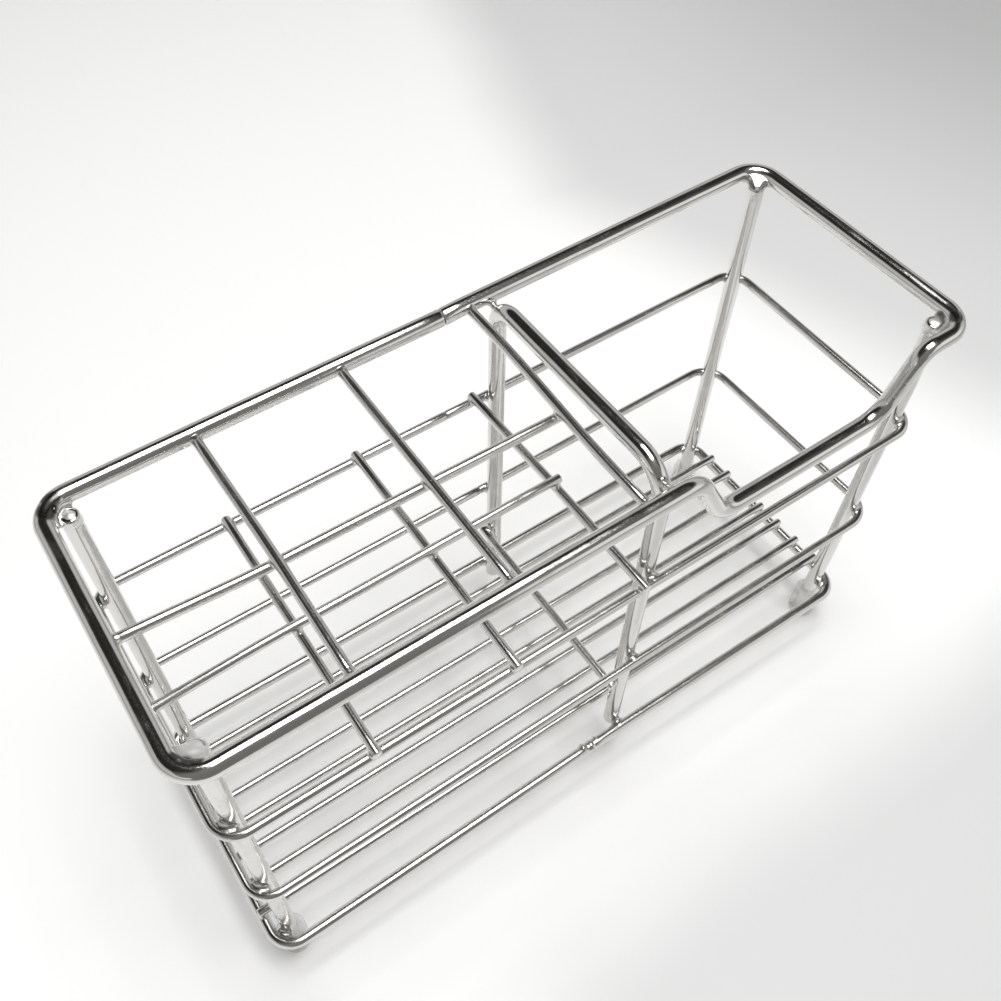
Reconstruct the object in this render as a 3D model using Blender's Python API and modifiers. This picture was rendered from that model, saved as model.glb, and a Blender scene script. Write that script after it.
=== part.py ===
"""Toothbrush holder: a rectangular caddy of welded, polished steel wire on four capped feet.

A thick rim wire runs round the top and drops along the right half of the front. Four posts carry it,
a tall hoop parts the toothbrush slots from the open compartment, and three thinner rings tie the
posts and the hoop together. Thin bars part the slots at the rim and at the shelf, and seven more make
the floor. Every wire is a piece of its own, and a small gap stands for each weld.
"""
import math

import bpy
from mathutils import Vector

# Wire diameters
rim_wire = 0.0040
hoop_wire = 0.0040
post_wire = 0.0042
ring_wire = 0.0020
base_wire = 0.0025
bar_wire = 0.0020

# Clearances: the gap at a weld, the wider one that the weld fills at the base, and a post's play in its cap
weld_gap = 0.0003
base_weld_gap = 0.0011
cap_play = 0.0003

# Along the length, between centre-lines, from the left end of the rim
first_rim_slot = 0.0336
rim_slot_pitch = 0.0344
first_shelf_slot = 0.0346
shelf_slot_pitch = 0.0342
shelf_bar_to_hoop = 0.0040
third_rim_bar_to_hoop = 0.0062
third_rim_bar_slant = 0.0013
compartment_length = 0.0830

# Across the depth
rim_depth = 0.0678
rim_long_bar_setback = 0.0306
shelf_long_bar_setback = 0.0341
floor_bar_margin = 0.0109
floor_bar_count = 7

# How far each ring's centre-line lies inside the rim's, and the base ring's front outside it
ring_left_inset = 0.0009
ring_right_inset = 0.0005
upper_ring_front_inset = 0.0005
upper_ring_back_inset = 0.0008
lower_ring_front_inset = 0.0002
lower_ring_back_inset = 0.0004
base_front_outset = 0.0006
base_back_inset = 0.0001
base_end_inset = 0.0001

# Heights, each above the one before it
cap_height = 0.0110
base_ring_over_cap = 0.0032
brace_over_base_ring = 0.0222
lower_ring_over_base_ring = 0.0380
upper_ring_over_lower_ring = 0.0377
rim_over_upper_ring = 0.0339
hoop_over_rim = 0.0010

# The lowered run of the rim in front of the compartment
front_drop = 0.0174
drop_after_hoop = 0.0051
drop_left_run = 0.0090
drop_right_run = 0.0070
drop_before_end = 0.0140
drop_left_bend_radius = 0.0070
drop_right_top_bend_radius = 0.0050
drop_right_foot_bend_radius = 0.0080

# Bends and ends
rim_corner_radius = 0.0065
hoop_front_bend_radius = 0.0085
hoop_back_bend_radius = 0.0060
post_top_below_rim = 0.0005
post_edge_radius = 0.0005
hoop_leg_below_base_ring = 0.0018
shelf_bar_front_overhang = 0.0003
floor_bar_end_shortfall = 0.0009
rim_long_bar_shortfall = 0.0005
rim_long_bar_rise_run = 0.0270
shelf_long_bar_overhang = 0.0014
shelf_long_bar_drop_run = 0.0270
brace_end_overhang = 0.0010

# Foot caps
cap_wall = 0.0013
cap_floor = 0.0016
cap_rim_radius = 0.0004
cap_sole_radius = 0.0008

# Butt seams of the closed wires: the gap, and how far each lies to the left of where its loop starts
seam_gap = 0.0003
rim_seam_from_right_end = 0.0955
upper_ring_seam_from_hoop = 0.0129
lower_ring_seam_from_hoop = 0.0030
base_ring_seam_from_hoop = 0.0103

# How finely the round shapes are cut
bend_step = math.radians(15)
thick_wire_bevels = 5
thin_wire_bevels = 3
turned_steps = 16
edge_steps = 3
merge_distance = 0.00001

# Radii
rim_radius = rim_wire / 2
hoop_radius = hoop_wire / 2
post_radius = post_wire / 2
ring_radius = ring_wire / 2
base_radius = base_wire / 2
bar_radius = bar_wire / 2

# Heights of the centre-lines over the table
base_ring_height = cap_height + base_ring_over_cap + base_radius
brace_height = base_ring_height + brace_over_base_ring
lower_ring_height = base_ring_height + lower_ring_over_base_ring
upper_ring_height = lower_ring_height + upper_ring_over_lower_ring
rim_height = upper_ring_height + rim_over_upper_ring
hoop_height = rim_height + hoop_over_rim
floor_bar_height = base_ring_height + base_radius + weld_gap + bar_radius
shelf_bar_height = upper_ring_height + ring_radius + weld_gap + bar_radius
bar_step = 2 * bar_radius + weld_gap

# Places along the length, with the caddy centred on the origin
third_shelf_bar_place = first_shelf_slot + 2 * shelf_slot_pitch
hoop_place = third_shelf_bar_place + shelf_bar_to_hoop
rim_length = hoop_place + compartment_length
left = -rim_length / 2
right = rim_length / 2
hoop_x = left + hoop_place

# Places across the depth
front = -rim_depth / 2
back = rim_depth / 2

# A post nests in the round of the rim's corner, and the hoop's legs lie against the rim's inner side
post_reach = rim_radius + weld_gap + post_radius
nested_post_inset = rim_corner_radius - (rim_corner_radius - post_reach) / math.sqrt(2)
post_inset = max(post_reach, nested_post_inset)
hoop_leg_inset = rim_radius + weld_gap + hoop_radius


def new_collection(name):
    """Make a collection and link it to the scene."""
    collection = bpy.data.collections.new(name)
    bpy.context.scene.collection.children.link(collection)
    return collection


def finish(piece, colour, roughness, metallic, alpha=1.0):
    """Give a piece a Principled material of its own."""
    material = bpy.data.materials.new(piece.name + "_finish")
    material.use_nodes = True
    shader = material.node_tree.nodes["Principled BSDF"]
    shader.inputs["Base Color"].default_value = (*colour, 1.0)
    shader.inputs["Roughness"].default_value = roughness
    shader.inputs["Metallic"].default_value = metallic
    shader.inputs["Alpha"].default_value = alpha
    piece.data.materials.append(material)


def polished_steel(piece):
    """Bright drawn steel wire, slightly warm."""
    finish(piece, (0.66, 0.65, 0.63), 0.12, 1.0)


def clear_plastic(piece):
    """Soft, cloudy clear plastic of the foot caps."""
    finish(piece, (0.78, 0.78, 0.77), 0.35, 0.0, alpha=0.7)


def place(piece, location, collection, carrier):
    """Put a piece in its collection, at its place on the carrier."""
    collection.objects.link(piece)
    piece.parent = carrier
    piece.location = location


def bend(before, corner, after, radius):
    """Points of the arc that rounds one corner of a bent wire."""
    incoming = (before - corner).normalized()
    outgoing = (after - corner).normalized()
    half_angle = incoming.angle(outgoing) / 2
    turn = math.pi - 2 * half_angle
    reach = radius / math.tan(half_angle)
    centre = corner + (incoming + outgoing).normalized() * radius / math.sin(half_angle)
    first_spoke = corner + incoming * reach - centre
    last_spoke = corner + outgoing * reach - centre
    steps = math.ceil(turn / bend_step)
    points = []
    for step in range(steps + 1):
        swept = turn * step / steps
        spoke = first_spoke * math.sin(turn - swept) + last_spoke * math.sin(swept)
        points.append(centre + spoke / math.sin(turn))
    return points


def bent_path(corners):
    """Points along a wire through its corners, each a point with the radius it is bent to."""
    points = []
    for index, (corner, radius) in enumerate(corners):
        if radius:
            before = corners[index - 1][0]
            after = corners[index + 1][0]
            points.extend(bend(before, corner, after, radius))
        else:
            points.append(corner)
    return points


def wire(name, points, diameter, bevels, parts, carrier):
    """A round wire along the points, placed by its first point."""
    curve = bpy.data.curves.new(name, "CURVE")
    curve.dimensions = "3D"
    curve.bevel_depth = diameter / 2
    curve.bevel_resolution = bevels
    curve.use_fill_caps = True
    spline = curve.splines.new("POLY")
    spline.points.add(len(points) - 1)
    for spline_point, point in zip(spline.points, points):
        spline_point.co = (*(point - points[0]), 1.0)
    piece = bpy.data.objects.new(name, curve)
    place(piece, points[0], parts, carrier)
    polished_steel(piece)
    return piece


def thick_wire(name, corners, diameter, parts, carrier):
    """A thick bent wire through its corners."""
    return wire(name, bent_path(corners), diameter, thick_wire_bevels, parts, carrier)


def thin_wire(name, corners, diameter, parts, carrier):
    """A thin bent wire through its corners."""
    return wire(name, bent_path(corners), diameter, thin_wire_bevels, parts, carrier)


def bar(name, stations, parts, carrier):
    """A thin bar through its stations, with crisp bends where it has any."""
    points = [Vector(station) for station in stations]
    return wire(name, points, bar_wire, thin_wire_bevels, parts, carrier)


def turned(name, profile, location, parts, carrier):
    """A turned piece: its profile of radius and height, spun round the upright axis."""
    mesh = bpy.data.meshes.new(name)
    vertices = [(radius, 0.0, height) for radius, height in profile]
    edges = [(index, index + 1) for index in range(len(profile) - 1)]
    mesh.from_pydata(vertices, edges, [])
    piece = bpy.data.objects.new(name, mesh)
    place(piece, location, parts, carrier)
    screw = piece.modifiers.new("turning", "SCREW")
    screw.axis = "Z"
    screw.angle = math.tau
    screw.steps = turned_steps
    screw.render_steps = turned_steps
    screw.use_merge_vertices = True
    screw.merge_threshold = merge_distance
    screw.use_smooth_shade = True
    return piece


def rounded_edge(radius, height, edge_radius, start_angle):
    """Points of a quarter round about a centre given by radius and height, turning clockwise."""
    points = []
    for step in range(edge_steps + 1):
        angle = start_angle - math.pi / 2 * step / edge_steps
        points.append((radius + edge_radius * math.cos(angle), height + edge_radius * math.sin(angle)))
    return points


def opened(loop, distance):
    """Corners of a closed wire, opened by a seam so far along its first run."""
    start = loop[0][0]
    along = (loop[1][0] - start).normalized()
    seam = start + along * distance
    half_gap = along * seam_gap / 2
    return [(seam + half_gap, 0), *loop[1:], loop[0], (seam - half_gap, 0)]


def corner(x, y, height, radius):
    """One corner of a bent wire and the radius it is bent to."""
    return (Vector((x, y, height)), radius)


def rim_loop():
    """Corners of the rim, from the back right, with its front lowered before the compartment."""
    low = rim_height - front_drop
    drop_left_top = hoop_x + drop_after_hoop
    drop_left_foot = drop_left_top + drop_left_run
    drop_right_top = right - drop_before_end
    drop_right_foot = drop_right_top - drop_right_run
    return [
        corner(right, back, rim_height, rim_corner_radius),
        corner(left, back, rim_height, rim_corner_radius),
        corner(left, front, rim_height, rim_corner_radius),
        corner(drop_left_top, front, rim_height, drop_left_bend_radius),
        corner(drop_left_foot, front, low, drop_left_bend_radius),
        corner(drop_right_foot, front, low, drop_right_foot_bend_radius),
        corner(drop_right_top, front, rim_height, drop_right_top_bend_radius),
        corner(right, front, rim_height, rim_corner_radius),
    ]


def nested_radius(inset, wire_radius, gap):
    """Corner radius at which a ring, set in from the rim, rounds a post with a gap to it."""
    reach = wire_radius + gap + post_radius
    return (math.sqrt(2) * (post_inset - inset) - reach) / (math.sqrt(2) - 1)


def ring_loop(height, wire_radius, insets, gap):
    """Corners of a ring from the back of the hoop, drawn in to meet the hoop's legs."""
    front_inset, back_inset, left_inset, right_inset = insets
    x_left = left + left_inset
    x_right = right - right_inset
    y_front = front + front_inset
    y_back = back - back_inset
    waist = hoop_leg_inset - hoop_radius - weld_gap - wire_radius
    left_radius = nested_radius(max(left_inset, front_inset, back_inset), wire_radius, gap)
    right_radius = nested_radius(max(right_inset, front_inset, back_inset), wire_radius, gap)
    return [
        corner(hoop_x, back - waist, height, 0),
        corner(x_left, y_back, height, left_radius),
        corner(x_left, y_front, height, left_radius),
        corner(hoop_x, front + waist, height, 0),
        corner(x_right, y_front, height, right_radius),
        corner(x_right, y_back, height, right_radius),
    ]


def from_front(loop):
    """The same ring, walked the other way round from the front of the hoop."""
    return loop[3::-1] + loop[:3:-1]


def hoop_corners():
    """Corners of the hoop, up its back leg, over and down its front leg."""
    y_back = back - hoop_leg_inset
    y_front = front + hoop_leg_inset
    leg_end = base_ring_height - hoop_leg_below_base_ring
    return [
        corner(hoop_x, y_back, leg_end, 0),
        corner(hoop_x, y_back, hoop_height, hoop_back_bend_radius),
        corner(hoop_x, y_front, hoop_height, hoop_front_bend_radius),
        corner(hoop_x, y_front, leg_end, 0),
    ]


def post_profile():
    """Radius and height of a post, from its rounded head down to its foot in the cap."""
    top = rim_height - post_top_below_rim
    foot = cap_floor + cap_play
    inner = post_radius - post_edge_radius
    head = rounded_edge(inner, top - post_edge_radius, post_edge_radius, math.pi / 2)
    sole = rounded_edge(inner, foot + post_edge_radius, post_edge_radius, 0)
    return [(0, top), *head, *sole, (0, foot)]


def cap_profile():
    """Radius and height of a foot cap, from the floor of its bore, over its rim, to its sole."""
    bore = post_radius + cap_play
    outer = bore + cap_wall
    rim = rounded_edge(outer - cap_rim_radius, cap_height - cap_rim_radius, cap_rim_radius, math.pi / 2)
    sole = rounded_edge(outer - cap_sole_radius, cap_sole_radius, cap_sole_radius, 0)
    return [(0, cap_floor), (bore, cap_floor), (bore, cap_height), *rim, *sole, (0, 0)]


def build_frame(parts, carrier):
    """The rim, the hoop and the three rings."""
    thick_wire("top_rim", opened(rim_loop(), rim_seam_from_right_end), rim_wire, parts, carrier)
    thick_wire("centre_hoop", hoop_corners(), hoop_wire, parts, carrier)
    upper_insets = (upper_ring_front_inset, upper_ring_back_inset, ring_left_inset, ring_right_inset)
    lower_insets = (lower_ring_front_inset, lower_ring_back_inset, ring_left_inset, ring_right_inset)
    base_insets = (-base_front_outset, base_back_inset, base_end_inset, base_end_inset)
    upper = ring_loop(upper_ring_height, ring_radius, upper_insets, weld_gap)
    lower = ring_loop(lower_ring_height, ring_radius, lower_insets, weld_gap)
    base = from_front(ring_loop(base_ring_height, base_radius, base_insets, base_weld_gap))
    thin_wire("upper_ring", opened(upper, upper_ring_seam_from_hoop), ring_wire, parts, carrier)
    thin_wire("lower_ring", opened(lower, lower_ring_seam_from_hoop), ring_wire, parts, carrier)
    thin_wire("base_ring", opened(base, base_ring_seam_from_hoop), base_wire, parts, carrier)


def build_posts_and_caps(parts, carrier):
    """Four posts in the rounds of the rim's corners, each standing in a foot cap."""
    sides = {"left": left + post_inset, "right": right - post_inset}
    faces = {"front": front + post_inset, "back": back - post_inset}
    for face, y in faces.items():
        for side, x in sides.items():
            post = turned(f"post_{face}_{side}", post_profile(), (x, y, 0), parts, carrier)
            polished_steel(post)
            cap = turned(f"foot_cap_{face}_{side}", cap_profile(), (x, y, 0), parts, carrier)
            clear_plastic(cap)


def build_rim_bars(parts, carrier):
    """Three bars across the rim, and the long bar that runs under them to the left end."""
    y_front = front + rim_radius + weld_gap
    y_back = back - rim_radius - weld_gap
    places = [left + first_rim_slot, left + first_rim_slot + rim_slot_pitch, hoop_x - third_rim_bar_to_hoop]
    slants = [0, 0, third_rim_bar_slant]
    for number, (x, slant) in enumerate(zip(places, slants), start=1):
        stations = [(x - slant / 2, y_front, rim_height), (x + slant / 2, y_back, rim_height)]
        bar(f"rim_cross_bar_{number}", stations, parts, carrier)
    y = front + rim_long_bar_setback
    under = rim_height - bar_step
    x_left = left + rim_radius + weld_gap
    stations = [
        (x_left, y, rim_height),
        (x_left + rim_long_bar_rise_run, y, under),
        (places[-1] - rim_long_bar_shortfall, y, under),
    ]
    bar("rim_long_bar", stations, parts, carrier)


def build_shelf_bars(parts, carrier):
    """Three bars across the upper ring, and the long bar that lies on them and on the ring's left side."""
    y_front = front + upper_ring_front_inset - ring_radius - shelf_bar_front_overhang
    y_back = back - upper_ring_back_inset + ring_radius
    for number in range(3):
        x = left + first_shelf_slot + number * shelf_slot_pitch
        stations = [(x, y_front, shelf_bar_height), (x, y_back, shelf_bar_height)]
        bar(f"shelf_cross_bar_{number + 1}", stations, parts, carrier)
    y = front + shelf_long_bar_setback
    over = shelf_bar_height + bar_step
    outer_side = left + ring_left_inset - ring_radius
    inner_side = left + ring_left_inset + ring_radius
    stations = [
        (outer_side, y, shelf_bar_height),
        (inner_side, y, shelf_bar_height),
        (inner_side + shelf_long_bar_drop_run, y, over),
        (left + third_shelf_bar_place + shelf_long_bar_overhang, y, over),
    ]
    bar("shelf_long_bar", stations, parts, carrier)


def build_brace(parts, carrier):
    """The short bar that ties the hoop's two legs together low down, on their left sides."""
    x = hoop_x - hoop_radius - weld_gap - bar_radius
    y_front = front + hoop_leg_inset - brace_end_overhang
    y_back = back - hoop_leg_inset + brace_end_overhang
    bar("leg_brace_bar", [(x, y_front, brace_height), (x, y_back, brace_height)], parts, carrier)


def build_floor_bars(parts, carrier):
    """Evenly spaced bars that lie along the base ring and end just inside its outer sides."""
    reach = base_radius - base_end_inset - floor_bar_end_shortfall
    y_first = front - base_front_outset + floor_bar_margin
    y_last = back - base_back_inset - floor_bar_margin
    pitch = (y_last - y_first) / (floor_bar_count - 1)
    for number in range(floor_bar_count):
        y = y_first + number * pitch
        stations = [(left - reach, y, floor_bar_height), (right + reach, y, floor_bar_height)]
        bar(f"floor_bar_{number + 1}", stations, parts, carrier)


def main():
    """Clear the scene and build the caddy round one carrier at the middle of its footprint."""
    for old in list(bpy.data.objects):
        bpy.data.objects.remove(old)
    parts = new_collection("toothbrush_holder")
    carrier = bpy.data.objects.new("caddy_centre", None)
    parts.objects.link(carrier)
    build_frame(parts, carrier)
    build_posts_and_caps(parts, carrier)
    build_rim_bars(parts, carrier)
    build_shelf_bars(parts, carrier)
    build_brace(parts, carrier)
    build_floor_bars(parts, carrier)


main()
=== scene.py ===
"""Toothbrush holder of welded, polished steel wire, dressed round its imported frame.

Every wire of the caddy is drawn again as a smooth round rod on the frame's own centre-line, with the
slight bends, cut ends and butt seams that such wires have. The welds between them are modelled as pools
of metal, and the four feet stand in clear caps. Sizes are in metres.
"""
import logging
import math
from dataclasses import dataclass
from enum import Enum
from typing import Callable, Optional, Sequence, Union

import bmesh
import bpy
from mathutils import Euler, Matrix, Vector


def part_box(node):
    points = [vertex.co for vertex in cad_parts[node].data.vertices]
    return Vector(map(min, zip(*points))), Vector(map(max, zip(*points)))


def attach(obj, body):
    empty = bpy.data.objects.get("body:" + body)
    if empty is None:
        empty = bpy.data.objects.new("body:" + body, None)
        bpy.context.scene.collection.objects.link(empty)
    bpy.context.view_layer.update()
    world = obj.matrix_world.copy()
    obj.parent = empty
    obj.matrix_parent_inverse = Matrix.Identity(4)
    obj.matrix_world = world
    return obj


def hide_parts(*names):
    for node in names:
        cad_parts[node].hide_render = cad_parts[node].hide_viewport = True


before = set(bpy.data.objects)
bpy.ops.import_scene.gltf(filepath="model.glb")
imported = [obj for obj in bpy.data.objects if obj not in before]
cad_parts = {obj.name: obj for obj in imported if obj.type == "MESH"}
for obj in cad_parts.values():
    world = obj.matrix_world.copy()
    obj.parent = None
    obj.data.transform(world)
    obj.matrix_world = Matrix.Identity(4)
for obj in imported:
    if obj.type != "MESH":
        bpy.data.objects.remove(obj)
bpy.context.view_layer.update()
BODY = "root"
CORNERS = ("front_left", "front_right", "back_left", "back_right")
UP = Vector((0.0, 0.0, 1.0))
BLACK = (0.0, 0.0, 0.0, 1.0)
WHITE = (1.0, 1.0, 1.0, 1.0)
# Dark patches on the rim's corners and their welds: scorch, and at the front left corner a painted
# reflection of the dark ceiling
SCORCH_AND_PAINTED_REFLECTION = (0.045, 0.043, 0.04, 1.0)
SCORCH_AND_REFLECTION_COVER = 0.92

Sway = Callable[[Vector], Vector]
Value = Union["Signal", float, Sequence[float]]


class Slot(Enum):
    """The record's material slots."""

    STEEL = "steel"
    CAP = "cap"


class Axis(Enum):
    """The caddy's axes: along its length, across its depth and upwards."""

    LENGTH = 0
    DEPTH = 1
    HEIGHT = 2


class Signal:
    """One output socket of a recipe's node, with arithmetic that adds Math nodes."""

    def __init__(self, recipe: "Recipe", socket: bpy.types.NodeSocket) -> None:
        """Keep the socket and the recipe that it belongs to."""
        self.recipe = recipe
        self.socket = socket

    def _math(self, operation: str, first: Value, second: Value) -> "Signal":
        """Add a Math node on two values."""
        return self.recipe.node("ShaderNodeMath", {"operation": operation}, {0: first, 1: second})

    def __add__(self, other: Value) -> "Signal":
        """Sum."""
        return self._math("ADD", self, other)

    def __radd__(self, other: Value) -> "Signal":
        """Sum, with the number first."""
        return self._math("ADD", other, self)

    def __sub__(self, other: Value) -> "Signal":
        """Difference."""
        return self._math("SUBTRACT", self, other)

    def __rsub__(self, other: Value) -> "Signal":
        """Difference, with the number first."""
        return self._math("SUBTRACT", other, self)

    def __mul__(self, other: Value) -> "Signal":
        """Product."""
        return self._math("MULTIPLY", self, other)

    def __rmul__(self, other: Value) -> "Signal":
        """Product, with the number first."""
        return self._math("MULTIPLY", other, self)

    def above(self, edge: float, width: float) -> "Signal":
        """A mask that rises smoothly from 0 to 1 over the width that follows the edge.

        Args:
            edge: The value at which the mask starts to rise.
            width: How much further the value goes before the mask is full.

        Returns:
            The mask.
        """
        settings = {"interpolation_type": "SMOOTHSTEP"}
        inputs = {"Value": self, "From Min": edge, "From Max": edge + width}
        return self.recipe.node("ShaderNodeMapRange", settings, inputs)


class Recipe:
    """A node tree being written, with one method that makes any node."""

    patch_core = 0.75
    patch_fade = 0.4
    patch_fray = 0.3

    def __init__(self, tree: bpy.types.NodeTree, result: Optional[bpy.types.Material] = None) -> None:
        """Start on the tree of a material, which is the result, or of the world."""
        self.tree = tree
        self.result = result

    @classmethod
    def material(cls, name: str) -> "Recipe":
        """Start a new material that holds only the default shader.

        Args:
            name: The material's name.

        Returns:
            The recipe of its tree.
        """
        made = bpy.data.materials.new(name)
        made.use_nodes = True
        return cls(made.node_tree, made)

    def feed(self, socket: bpy.types.NodeSocket, value: Value) -> None:
        """Link a signal to a socket, or set the socket's own value.

        Args:
            socket: The input socket.
            value: The signal or the value.
        """
        if isinstance(value, Signal):
            self.tree.links.new(value.socket, socket)
        else:
            socket.default_value = value

    def node(
        self,
        kind: str,
        settings: Optional[dict] = None,
        inputs: Optional[dict] = None,
        output: Union[int, str] = 0,
    ) -> Signal:
        """Make a node.

        Args:
            kind: The node's type.
            settings: Its own settings, which are set first.
            inputs: Values or signals for its sockets, by name or number.
            output: The output socket that is wanted.

        Returns:
            The signal of that output.
        """
        made = self.tree.nodes.new(kind)
        for name, value in (settings or {}).items():
            setattr(made, name, value)
        for key, value in (inputs or {}).items():
            self.feed(made.inputs[key], value)
        return Signal(self, made.outputs[output])

    def blend(self, share: Value, first: Value, second: Value) -> Signal:
        """Mix two colours by a share of the second."""
        inputs = {0: share, 6: first, 7: second}
        return self.node("ShaderNodeMix", {"data_type": "RGBA"}, inputs, output=2)

    def noise(
        self, vector: Signal, scale: Sequence[float], detail: float = 2.0, rough: float = 0.5
    ) -> Signal:
        """Smooth noise about 0.5, on a vector that is stretched along each axis.

        Args:
            vector: The place that is shaded.
            scale: How fine the noise is along each axis.
            detail: How many finer layers are added.
            rough: How strong the finer layers are.

        Returns:
            The noise.
        """
        stretched = self.node("ShaderNodeVectorMath", {"operation": "MULTIPLY"}, {0: vector, 1: scale})
        inputs = {"Vector": stretched, "Scale": 1.0, "Detail": detail, "Roughness": rough}
        return self.node("ShaderNodeTexNoise", {"noise_dimensions": "3D"}, inputs)

    def bump(self, height: Signal, depth: float = 1.0) -> Signal:
        """A bumped normal from a height, in metres where the depth is 1."""
        inputs = {"Strength": 1.0, "Distance": depth, "Height": height}
        return self.node("ShaderNodeBump", inputs=inputs)

    def patch(self, place: Signal, ragged: Signal, centre: Sequence[float], radius: float) -> Signal:
        """A mask that is full about a centre and fades out at a radius.

        Args:
            place: The place that is shaded.
            ragged: A signal from 0 to 1 that frays the edge.
            centre: The centre of the patch.
            radius: The radius of the patch.

        Returns:
            The mask.
        """
        settings = {"operation": "DISTANCE"}
        apart = self.node("ShaderNodeVectorMath", settings, {0: place, 1: centre}, output="Value")
        frayed = apart + ragged * (radius * self.patch_fray)
        return 1.0 - frayed.above(radius * self.patch_core, radius * self.patch_fade)

    def place(self) -> Signal:
        """Object coordinates, in metres."""
        return self.node("ShaderNodeTexCoord", output="Object")

    def attribute(self, name: str) -> Signal:
        """A mesh attribute that is a vector."""
        return self.node("ShaderNodeAttribute", {"attribute_name": name}, output="Vector")

    def part(self, vector: Signal, axis: str) -> Signal:
        """One part of a vector, by the name of its axis."""
        return self.node("ShaderNodeSeparateXYZ", inputs={0: vector}, output=axis)

    def shade(self, **inputs: Value) -> None:
        """Set or link the sockets of the default shader.

        Args:
            inputs: Values or signals by the sockets' names, with underscores for their spaces.
        """
        shader = self.tree.nodes["Principled BSDF"]
        for name, value in inputs.items():
            self.feed(shader.inputs[name.replace("_", " ")], value)


@dataclass(frozen=True)
class PolishedWire:
    """Bright drawn wire: a mirror finish with faint lines along the wire, dimples and smears.

    The places of scorch and painted reflection are pairs of a centre and a radius where the wire is painted
    dark: scorch from a grinder, and at the front left corner a painted reflection of the dark ceiling. A
    mask is the noise at which it starts and the width over which it fills.
    """

    name: str = "polished_wire"
    scorch_and_reflection: tuple = ()
    bright: tuple = (0.70, 0.69, 0.67, 1.0)
    dull: tuple = (0.56, 0.545, 0.52, 1.0)
    dull_share: float = 0.5
    scorch_and_reflection_roughness: float = 0.12
    sheen_roughness: float = 0.115
    smear_roughness: float = 0.20
    speck_roughness: float = 0.045
    line_scale: tuple = (60.0, 3200.0, 3200.0)
    ripple_scale: tuple = (60.0, 420.0, 420.0)
    dimple_scale: tuple = (700.0, 700.0, 700.0)
    smear_scale: tuple = (120.0, 600.0, 600.0)
    speck_scale: tuple = (2600.0, 2600.0, 2600.0)
    dimple_mask: tuple = (0.74, 0.05)
    smear_mask: tuple = (0.50, 0.18)
    speck_mask: tuple = (0.40, 0.25)
    ripple_depth: float = 0.00006
    line_depth: float = 0.000005
    dimple_depth: float = 0.00001

    def make(self) -> bpy.types.Material:
        """Write the material.

        Returns:
            The material.
        """
        recipe = Recipe.material(self.name)
        grain = recipe.attribute("grain")
        place = recipe.place()
        lines = recipe.noise(grain, self.line_scale, detail=3.0)
        ripple = recipe.noise(grain, self.ripple_scale, detail=1.0)
        smear = recipe.noise(grain, self.smear_scale, detail=3.0, rough=0.6).above(*self.smear_mask)
        dimples = recipe.noise(place, self.dimple_scale, detail=1.0).above(*self.dimple_mask)
        specks = recipe.noise(place, self.speck_scale, rough=0.6).above(*self.speck_mask)
        height = ripple * self.ripple_depth + lines * self.line_depth - dimples * self.dimple_depth
        tone = smear * self.dull_share + dimples * self.dull_share
        gloss = self.sheen_roughness + smear * (self.smear_roughness - self.sheen_roughness)
        gloss = gloss + specks * self.speck_roughness
        colour = recipe.blend(tone, self.bright, self.dull)
        # Paint the patches dark: scorch, and at the front left corner a painted reflection of the dark
        # ceiling
        for centre, radius in self.scorch_and_reflection:
            patch = recipe.patch(place, smear, centre, radius)
            colour = recipe.blend(patch * SCORCH_AND_REFLECTION_COVER, colour, SCORCH_AND_PAINTED_REFLECTION)
            gloss = gloss + patch * self.scorch_and_reflection_roughness
        recipe.shade(Base_Color=colour, Roughness=gloss, Normal=recipe.bump(height), Metallic=1.0)
        return recipe.result


@dataclass(frozen=True)
class WeldPool:
    """Melted and buffed steel at a weld: bright, with random patches of darker scale.

    The places of scorch and painted reflection are pairs of a centre and a radius where the weld is painted
    dark: scorch from a grinder, and at the front left corner a painted reflection of the dark ceiling.
    The places of matt and painted sheen are such pairs where the weld is left matt and painted paler, a
    painted sheen.
    """

    scorch_and_reflection: tuple = ()
    matt_and_painted_sheen: tuple = ()
    bright: tuple = (0.66, 0.65, 0.63, 1.0)
    painted_sheen_colour: tuple = (0.92, 0.915, 0.90, 1.0)
    scale_colour: tuple = (0.13, 0.125, 0.115, 1.0)
    scale_mask: tuple = (0.66, 0.10)
    scale_cover: float = 0.6
    roughness: float = 0.26
    satin_roughness: float = 0.24
    scale_roughness: float = 0.38
    scale_size: tuple = (520.0, 520.0, 520.0)
    lump_size: tuple = (420.0, 420.0, 420.0)
    lump_depth: float = 0.00008

    def make(self) -> bpy.types.Material:
        """Write the material.

        Returns:
            The material.
        """
        recipe = Recipe.material("weld_pool")
        place = recipe.place()
        scale = recipe.noise(place, self.scale_size, detail=3.0, rough=0.6).above(*self.scale_mask)
        lumps = recipe.noise(place, self.lump_size)
        gloss = self.roughness + scale * (self.scale_roughness - self.roughness)
        colour = recipe.blend(scale * self.scale_cover, self.bright, self.scale_colour)
        # The post tops' welds are made matt and painted paler, a painted sheen
        for centre, radius in self.matt_and_painted_sheen:
            patch = recipe.patch(place, lumps, centre, radius)
            gloss = gloss + patch * self.satin_roughness
            colour = recipe.blend(patch, colour, self.painted_sheen_colour)
        # Paint the patches dark: scorch, and at the front left corner a painted reflection of the dark
        # ceiling
        for centre, radius in self.scorch_and_reflection:
            patch = recipe.patch(place, scale, centre, radius)
            colour = recipe.blend(patch * SCORCH_AND_REFLECTION_COVER, colour, SCORCH_AND_PAINTED_REFLECTION)
        normal = recipe.bump(lumps, self.lump_depth)
        recipe.shade(Base_Color=colour, Roughness=gloss, Normal=normal, Metallic=1.0)
        return recipe.result


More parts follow.
